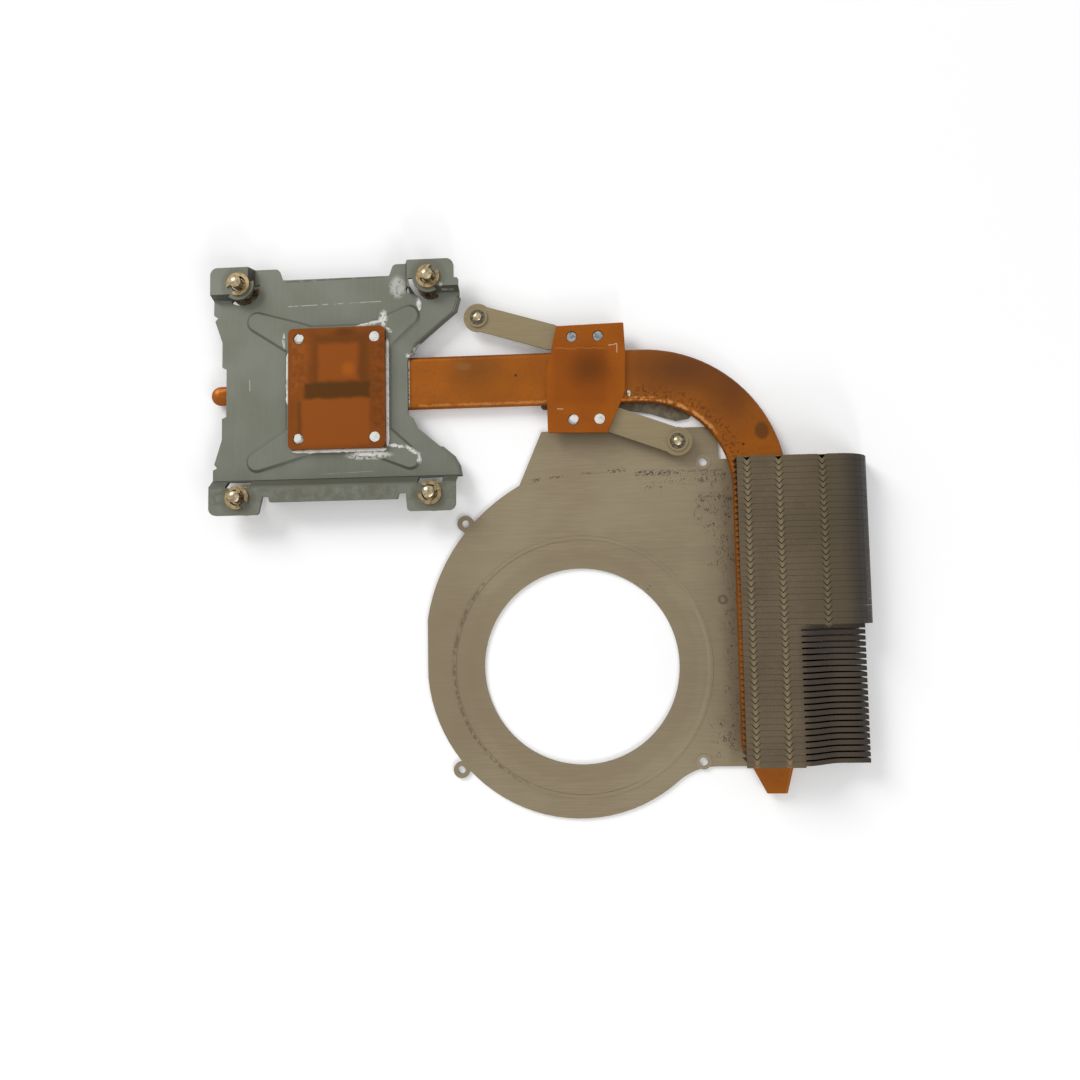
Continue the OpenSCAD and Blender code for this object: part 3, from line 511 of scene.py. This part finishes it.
def bead(bm, path, widths, height, seed=0.0):
    """A run of paste or solder: a flattened round section carried along a path."""
    loop = bmesh.ops.create_circle(bm, cap_ends=True, segments=10, radius=1.0)["verts"]
    shape = [(v.co.x, v.co.y) for v in loop]
    edges = [e for e in bm.edges if all(v in loop for v in e.verts)]
    last = len(path) - 1
    for index, point in enumerate(path):
        along = Vector(path[min(index + 1, last)]) - Vector(path[max(index - 1, 0)])
        across = Vector((-along.y, along.x, 0)).normalized()
        swell = 1 + 0.55 * noise.noise(Vector((index * 0.9 + seed, seed, 0)))
        width = (widths[0] if index in (0, last) else widths[1]) * swell
        if index:
            made = bmesh.ops.extrude_edge_only(bm, edges=edges)["geom"]
            loop = [g for g in made if isinstance(g, bmesh.types.BMVert)]
            edges = [g for g in made if isinstance(g, bmesh.types.BMEdge)]
        rise = height / 2 * min(1, swell)
        for vert, (side, up) in zip(loop, shape):
            vert.co = Vector(point) + across * side * width / 2 + Vector((0, 0, up * rise))
    bmesh.ops.contextual_create(bm, geom=edges)


def bent_run(points, z, steps):
    """Points along a bent line given in millimetres, all at height z in metres."""
    corners = [Vector((x * MM, y * MM, z)) for x, y in points]
    run = [a.lerp(b, k / steps) for a, b in zip(corners, corners[1:]) for k in range(steps)]
    return run + corners[-1:]


# Paste, in millimetres: how far the beads lie from the block's sides and below its face
PASTE_OUT = 0.35
PASTE_BELOW = 1.05
LEFT = BLOCK_LOW[0] / MM - PASTE_OUT
RIGHT = BLOCK_HIGH[0] / MM + PASTE_OUT
BOTTOM = BLOCK_LOW[1] / MM - PASTE_OUT

# Points, steps between points, extra depth, width at the ends, shares of width and height, seed
PASTE_RUNS = (
    (((RIGHT, -14.6), (RIGHT, 12.2)), 30, 0.0, 0.2, 1.0, 1.0, 1.0),
    (((-11.3, BOTTOM), (12.2, BOTTOM)), 26, 0.0, 0.2, 1.0, 1.0, 5.0),
    (((LEFT, -3.8), (LEFT, 9.2)), 16, 0.0, 0.2, 1.1, 1.0, 9.0),
    (((12.6, -14.4), (14.6, -14.7), (16.9, -15.1), (18.7, -15.9), (20.0, -17.1), (20.3, -18.7)),
     5, 0.45, 0.3, 0.8, 0.7, 3.0),
    (((5.4, 15.7), (8.6, 16.1), (11.2, 16.6), (11.6, 18.6)), 5, 0.25, 0.3, 0.7, 0.7, 13.0),
    (((4.0, -16.3), (8.0, -16.5), (12.4, -16.2)), 5, 0.3, 0.4, 1.3, 0.5, 17.0),
)
# Centre, face, depth, shares of the recess's radius, half height, lumps, seed
RIVET_DROPS = (
    ((9.5, 12.5), BLOCK_TOP, 0.12, (1.0, 1.0), 0.14, 0.1, 0.0),
    ((9.5, -12.5), BLOCK_TOP, 0.12, (1.0, 1.0), 0.14, 0.1, 1.0),
    # On these three the paste has partly come off, and the metal shows
    ((-9.3, 12.7), BLOCK_TOP, 0.14, (0.85, 0.8), 0.13, 0.3, 5.0),
    ((-9.7, -12.2), BLOCK_TOP, 0.16, (0.75, 0.85), 0.11, 0.35, 7.0),
    ((58.2, -9.3), PLATE_TOP, 0.13, (0.85, 0.8), 0.13, 0.25, 11.0),
    ((64.35, -9.55), PLATE_TOP, 0.12, (1.0, 1.0), 0.14, 0.1, 12.0),
)
# The lump of paste at the end of the cross's upper right arm
PASTE_LUMP = ((20.5, 20.5), (0.5, 1.5, 0.25))

# Solder: the run at the pipe's edge, and a drop beside the graphics plate
SOLDER_RUN = ((17.5, -4.9), (17.5, 7.4))
SOLDER_DROP = ((71.5, -3.2), (0.55, 0.95, 0.35))

# Lamps: name, place from the middle in metres, power in watts, size in metres
LAMPS = (
    ("key", (-1.15, 1.2, 1.1), 24.0, 0.9),
    ("fill", (1.1, -1.2, 1.1), 8.0, 0.9),
    ("edge", (0.1, -0.6, 0.3), 0.7, 0.12),
)
MIDDLE = Vector((0.045, -0.03, 0))
# The photo's own place, in millimetres and degrees
CAMERA_PLACE = (64.42, -55.54, 221.29)
CAMERA_TURN = (4.268, 3.95, -1.048)


class HeatsinkSizes(bpy.types.PropertyGroup):
    """Sizes of what scene work adds to the CAD."""
    paste_height: bpy.props.FloatProperty(
        name="Paste height", description="Height of the paste bead beside the block",
        default=0.45 * MM, min=0.1 * MM, max=1.0 * MM, unit="LENGTH")
    paste_width: bpy.props.FloatProperty(
        name="Paste width", description="Width of the paste bead beside the block",
        default=0.9 * MM, min=0.3 * MM, max=1.2 * MM, unit="LENGTH")
    rivet_fill: bpy.props.FloatProperty(
        name="Rivet fill", description="Radius of the paste that fills a rivet's recess",
        default=1.32 * MM, min=0.8 * MM, max=1.35 * MM, unit="LENGTH")
    solder_width: bpy.props.FloatProperty(
        name="Solder width", description="Width of the solder run at the pipe's edge",
        default=0.5 * MM, min=0.2 * MM, max=0.9 * MM, unit="LENGTH")
    camera_lens: bpy.props.FloatProperty(
        name="Lens", description="Focal length of the camera",
        default=31.05, min=20, max=80, unit="CAMERA")


class HeatsinkColours(bpy.types.PropertyGroup):
    """Colours that a user would change."""
    floor: bpy.props.FloatVectorProperty(
        name="Floor", description="Colour of the floor", subtype="COLOR", size=4,
        default=linear("#f6f6f6"), min=0, max=1)
    solder: bpy.props.FloatVectorProperty(
        name="Solder", description="Colour of bare solder", subtype="COLOR", size=4,
        default=linear("#b9b3a6"), min=0, max=1)


class HEATSINK_OT_sheet_metal(bpy.types.Operator):
    """Finish the bracket, the cover, the arms and the strap"""
    bl_idname = "heatsink.sheet_metal"
    bl_label = "Finish sheet metal"

    def execute(self, context):
        dress(finish("Chromated zinc on steel", bracket_paint, 0.25, 0.5), "processor_bracket")
        dress(finish("Nickel plated cover sheet", cover_paint, 0.35, 0.5), "fan_cover")
        # Stainless spring steel: pale tan grey and smoother than the cover.
        dress(finish("Stainless spring steel", sheet_paint("#867759", "#7f7153", "#908263"), 0.4, 0.45),
              "left_spring_arm", "right_spring_arm")
        # Hot-dipped zinc: mottled grey spangle.
        dress(finish("Hot dipped zinc", plain_paint("#6f634e", "#5a5040", 1.1), 0.4, 0.5), "pipe_strap")
        return {"FINISHED"}


class HEATSINK_OT_copper(bpy.types.Operator):
    """Finish the contact block, the graphics plate and the heat pipe"""
    bl_idname = "heatsink.copper"
    bl_label = "Finish copper"

    def execute(self, context):
        # Copper warmed for years under paste: brown bands, and orange where the paste kept the air away.
        block_paint = copper_paint("#783f10", "#6e3a0f", BLOCK_STAINS)
        block = finish("Stained copper block", block_paint, 0.5, 0.45, gloss=0.15)
        plate_paint = copper_paint("#944f10", "#8b4910", PLATE_STAINS, 0.2)
        plate = finish("Stained copper plate", plate_paint, 0.5, 0.45, gloss=0.15)
        tube = finish("Mottled copper tube", pipe_paint, 0.55, 0.4, bump_size=1.6, bump=0.05, gloss=0.2)
        dress(block, "processor_block")
        dress(plate, "graphics_plate")
        dress(tube, "heat_pipe")
        return {"FINISHED"}


class HEATSINK_OT_fins(bpy.types.Operator):
    """Finish both groups of fins"""
    bl_idname = "heatsink.fins"
    bl_label = "Finish fins"

    def execute(self, context):
        dress(finish("Dusty aluminium fins with painted shade", fin_paint, 0.4, 0.5), "full_fins", "stepped_fins")
        return {"FINISHED"}


class HEATSINK_OT_fasteners(bpy.types.Operator):
    """Finish the screws, clips, springs and rivets, and give each spring its own mesh"""
    bl_idname = "heatsink.fasteners"
    bl_label = "Finish fasteners"

    def execute(self, context):
        # Nickel-plated screws: warm bright metal.
        screw = finish("Nickel plated screw", plain_paint("#b5a688", "#877a60", 0.8), 0.9, 0.28)
        # Zinc-plated snap clips gone yellow.
        clip = finish("Yellowed zinc clip", plain_paint("#9c8862", "#736245", 0.9), 0.7, 0.4)
        # Spring wire: cool bright steel.
        spring = finish("Bright spring wire", plain_paint("#a8a69e", "#807c72", 0.8), 0.9, 0.35)
        # Pressed rivets: plain grey steel, cloudy from the press.
        rivet = finish("Pressed steel rivet", plain_paint("#9a9b9a", "#6d6e6d", 0.7), 0.85, 0.35)
        # Retaining rings: brown grey with old oil.
        oiled = finish("Oiled steel ring", plain_paint("#6a6152", "#3d372e", 0.7), 0.6, 0.45)
        for index in range(1, 5):
            dress(screw, f"processor_screw_{index}")
            dress(clip, f"processor_clip_{index}")
            dress(spring, f"processor_spring_{index}")
            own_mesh(NODES[f"processor_spring_{index}"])
        dress(screw, "graphics_screw_1", "graphics_screw_2")
        dress(oiled, "graphics_clip_1", "graphics_clip_2")
        dress(rivet, "block_rivets", "arm_rivets")
        return {"FINISHED"}


class HEATSINK_OT_paste(bpy.types.Operator):
    """Dried thermal paste beside the block and in the rivets' recesses"""
    bl_idname = "heatsink.paste"
    bl_label = "Add paste"

    def execute(self, context):
        sizes = context.scene.heatsink_sizes
        # Silicone paste: chalky and rough.
        paste = finish("Dried thermal paste", paste_paint, 0.0, 0.75, bump_size=0.4, bump=0.06)
        bm = bmesh.new()
        for points, steps, depth, end, wide, high, seed in PASTE_RUNS:
            path = bent_run(points, BLOCK_TOP - (PASTE_BELOW + depth) * MM, steps)
            bead(bm, path, (end * MM, wide * sizes.paste_width), high * sizes.paste_height, seed)
        (x, y), radii = PASTE_LUMP
        z = BLOCK_TOP - (PASTE_BELOW + 0.65) * MM
        blob(bm, (x * MM, y * MM, z), [r * MM for r in radii], 0.3, 21.0)
        piece("paste_round_block", bm, paste)
        bm = bmesh.new()
        for (x, y), face, depth, shares, half, lump, seed in RIVET_DROPS:
            radii = [share * sizes.rivet_fill for share in shares] + [half * MM]
            blob(bm, (x * MM, y * MM, face - depth * MM), radii, lump, seed)
        piece("paste_in_rivets", bm, paste)
        return {"FINISHED"}


class HEATSINK_OT_solder(bpy.types.Operator):
    """Solder where the pipe leaves the bracket, and a drop beside the graphics plate"""
    bl_idname = "heatsink.solder"
    bl_label = "Add solder"

    def execute(self, context):
        sizes = context.scene.heatsink_sizes
        paint = solder_paint(context.scene.heatsink_colours.solder)
        solder = finish("Dull tin solder", paint, 0.85, 0.38, bump_size=0.5, bump=0.08)
        bm = bmesh.new()
        bead(bm, bent_run(SOLDER_RUN, PIPE_TOP, 18), (0.2 * MM, sizes.solder_width), 0.4 * MM, 3.0)
        (x, y), radii = SOLDER_DROP
        blob(bm, (x * MM, y * MM, PIPE_TOP), [r * MM for r in radii], 0.25, 2.0)
        piece("solder_at_pipe", bm, solder)
        return {"FINISHED"}


class HEATSINK_OT_stage(bpy.types.Operator):
    """Floor, lights, world and camera"""
    bl_idname = "heatsink.stage"
    bl_label = "Build stage"

    def execute(self, context):
        scene = context.scene
        sizes, colours = scene.heatsink_sizes, scene.heatsink_colours
        bm = bmesh.new()
        bmesh.ops.create_grid(bm, x_segments=1, y_segments=1, size=FLOOR_HALF)
        bmesh.ops.translate(bm, vec=(0.05, -0.03, FLOOR - FLOOR_GAP), verts=bm.verts)
        mesh = bpy.data.meshes.new("floor")
        bm.to_mesh(mesh)
        bm.free()
        floor = bpy.data.objects.new("floor", mesh)
        scene.collection.objects.link(floor)
        paper = bpy.data.materials.new("Matt white paper")
        paper.use_nodes = True
        shader = paper.node_tree.nodes["Principled BSDF"]
        shader.inputs["Base Color"].default_value = colours.floor
        shader.inputs["Roughness"].default_value = 0.9
        shader.inputs["Specular IOR Level"].default_value = 0.1
        # Paper white for the camera alone, so the lamps can stay low
        seen = add(paper.node_tree, "LightPath").outputs["Is Camera Ray"]
        lift = maths(paper.node_tree, "MULTIPLY", seen, 0.1)
        paper.node_tree.links.new(lift, shader.inputs["Emission Strength"])
        mesh.materials.append(paper)

        world = bpy.data.worlds.new("Studio")
        world.use_nodes = True
        scene.world = world
        tree = world.node_tree
        tree.nodes.clear()
        rays = add(tree, "LightPath").outputs
        seen = maths(tree, "MAXIMUM", rays["Is Camera Ray"], rays["Is Glossy Ray"])
        seen = maths(tree, "MAXIMUM", seen, rays["Is Transmission Ray"])
        level = add(tree, "MapRange", {0: seen, 3: 0.5, 4: 1.0}).outputs[0]
        sky = add(tree, "Background", {"Color": (1, 1, 1, 1), "Strength": level})
        add(tree, "OutputWorld", {"Surface": sky.outputs[0]})

        for name, offset, power, size in LAMPS:
            lamp = bpy.data.lights.new(name, "AREA")
            lamp.energy, lamp.size = power, size
            obj = bpy.data.objects.new(name, lamp)
            obj.location = MIDDLE + Vector(offset)
            obj.rotation_euler = Vector(offset).to_track_quat("Z", "Y").to_euler()
            scene.collection.objects.link(obj)

        lens = bpy.data.cameras.new("photo camera")
        lens.lens = sizes.camera_lens
        lens.sensor_width = 36.0
        lens.clip_start = 0.01
        camera = bpy.data.objects.new("photo camera", lens)
        camera.location = Vector(CAMERA_PLACE) * MM
        camera.rotation_euler = Euler([math.radians(angle) for angle in CAMERA_TURN])
        scene.collection.objects.link(camera)
        scene.camera = camera
        scene.view_settings.view_transform = "Standard"
        return {"FINISHED"}


STEPS = (HEATSINK_OT_sheet_metal, HEATSINK_OT_copper, HEATSINK_OT_fins, HEATSINK_OT_fasteners,
         HEATSINK_OT_paste, HEATSINK_OT_solder, HEATSINK_OT_stage)


class HEATSINK_PT_panel(bpy.types.Panel):
    """Lists the steps and the sizes of the heatsink"""
    bl_idname = "HEATSINK_PT_panel"
    bl_label = "Laptop heatsink"
    bl_space_type = "VIEW_3D"
    bl_region_type = "UI"
    bl_category = "Heatsink"

    def draw(self, context):
        for group in (context.scene.heatsink_sizes, context.scene.heatsink_colours):
            for name in group.bl_rna.properties.keys():
                if name not in ("rna_type", "name"):
                    self.layout.prop(group, name)
        for step in STEPS:
            self.layout.operator(step.bl_idname)


CLASSES = (HeatsinkSizes, HeatsinkColours, *STEPS, HEATSINK_PT_panel)


def register():
    for cls in CLASSES:
        bpy.utils.register_class(cls)
    bpy.types.Scene.heatsink_sizes = bpy.props.PointerProperty(type=HeatsinkSizes)
    bpy.types.Scene.heatsink_colours = bpy.props.PointerProperty(type=HeatsinkColours)


def unregister():
    del bpy.types.Scene.heatsink_colours
    del bpy.types.Scene.heatsink_sizes
    for cls in reversed(CLASSES):
        bpy.utils.unregister_class(cls)


def main():
    register()
    for step in STEPS:
        family, name = step.bl_idname.split(".")
        getattr(getattr(bpy.ops, family), name)()


if __name__ == "__main__":
    main()
